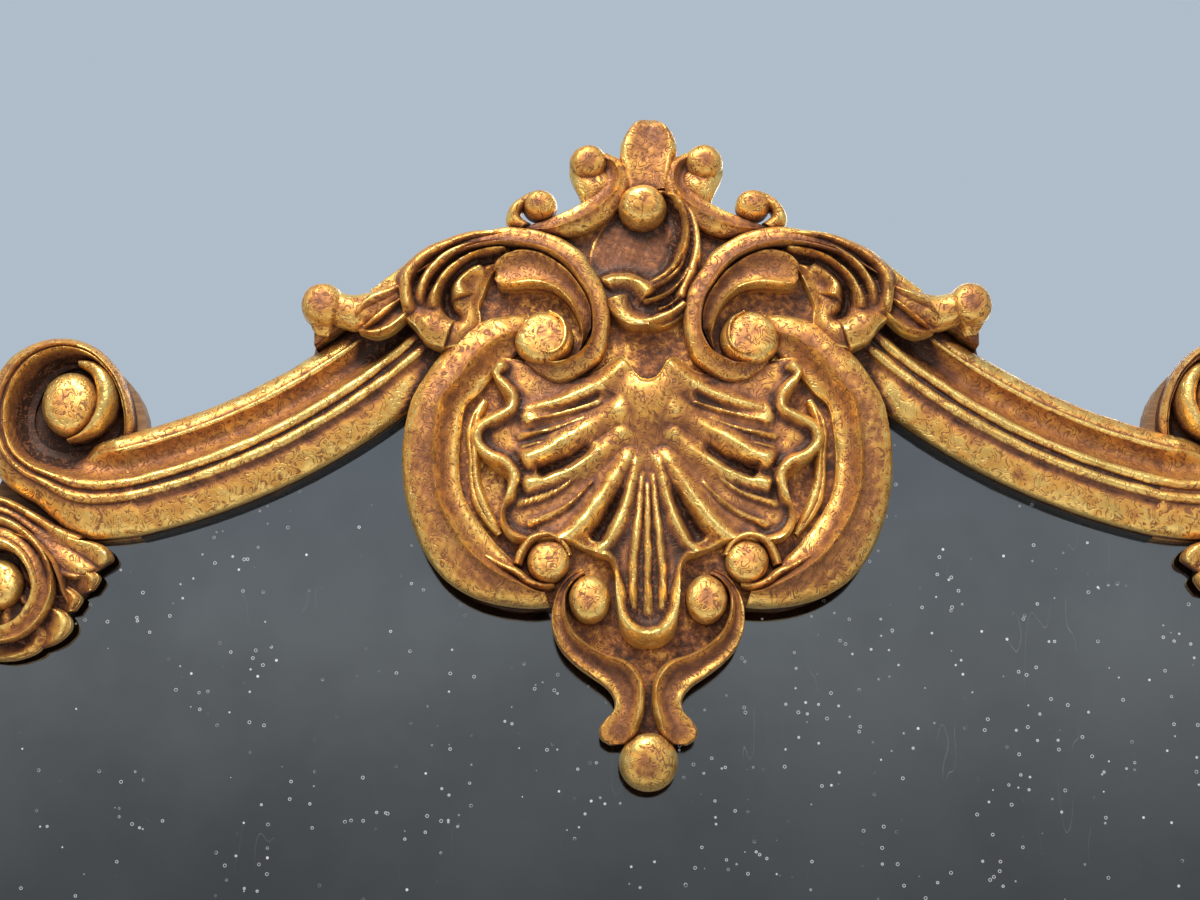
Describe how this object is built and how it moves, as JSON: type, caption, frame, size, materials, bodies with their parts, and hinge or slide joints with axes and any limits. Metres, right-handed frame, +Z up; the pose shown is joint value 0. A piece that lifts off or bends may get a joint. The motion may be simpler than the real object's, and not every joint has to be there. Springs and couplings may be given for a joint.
{
  "type": "overmantel mirror",
  "caption": "Arched overmantel mirror in a worn giltwood frame with swooping mouldings, a pierced-look shell crest, scrolls, leafy corners and an aged silvered plate.",
  "frame": {"origin": "middle of the bottom edge of the back, where the wall meets the shelf", "axes": "+X to the viewer's right, -Y out of the wall towards the viewer, +Z up"},
  "size_m": [1.244, 0.088, 1.45],
  "materials": {
    "gilt": "worn gold leaf over red-brown clay on carved wood",
    "bole": "dark, toned and dusty",
    "pine": "bare, aged",
    "dowel": "bare",
    "backboard": "bare, aged",
    "slip": "black paint",
    "mirror": "aged silvering with foxing",
    "brass": "dull",
    "steel": "dull"
  },
  "bodies": {
    "root": {"stile_left": "pine", "stile_right": "pine", "bottom_rail": "pine", "top_rail_left": "pine", "top_rail_right": "pine", "crest_board": "pine", "crest_block": "bole", "dowels": "dowel", "swoop_moulding_left": "gilt", "swoop_moulding_right": "gilt", "stile_moulding_left": "gilt", "stile_moulding_right": "gilt", "base_moulding": "gilt", "slip_left": "slip", "slip_right": "slip", "slip_bottom": "slip", "slip_top_left": "slip", "slip_top_right": "slip", "mirror_glass": "mirror", "glazing_blocks": "dowel", "backboard_1": "backboard", "backboard_2": "backboard", "backboard_3": "backboard", "backboard_4": "backboard", "backboard_5": "backboard", "backboard_screws": "steel", "wall_plates": "brass", "plate_screws": "brass", "crest_shell": "gilt", "ring_scroll_left": "gilt", "ring_scroll_right": "gilt", "leaf_scroll_left": "gilt", "leaf_scroll_right": "gilt", "plume": "gilt", "plume_ball": "gilt", "palmette": "gilt", "tendril_left": "gilt", "tendril_right": "gilt", "side_leaf_left": "gilt", "side_leaf_right": "gilt", "pendant_scroll_left": "gilt", "pendant_scroll_right": "gilt", "pendant_balls": "gilt", "crest_eyes": "gilt", "ring_buttons": "gilt", "corner_volute_left": "gilt", "corner_volute_right": "gilt", "corner_leaf_left": "gilt", "corner_leaf_right": "gilt", "corner_eyes": "gilt", "foot_leaf_left": "gilt", "foot_leaf_right": "gilt", "foot_eyes": "gilt", "side_ground_left": "bole", "side_ground_right": "bole", "corner_ground_left": "bole", "corner_ground_right": "bole", "foot_ground_left": "bole", "foot_ground_right": "bole"}
  },
  "joints": []
}
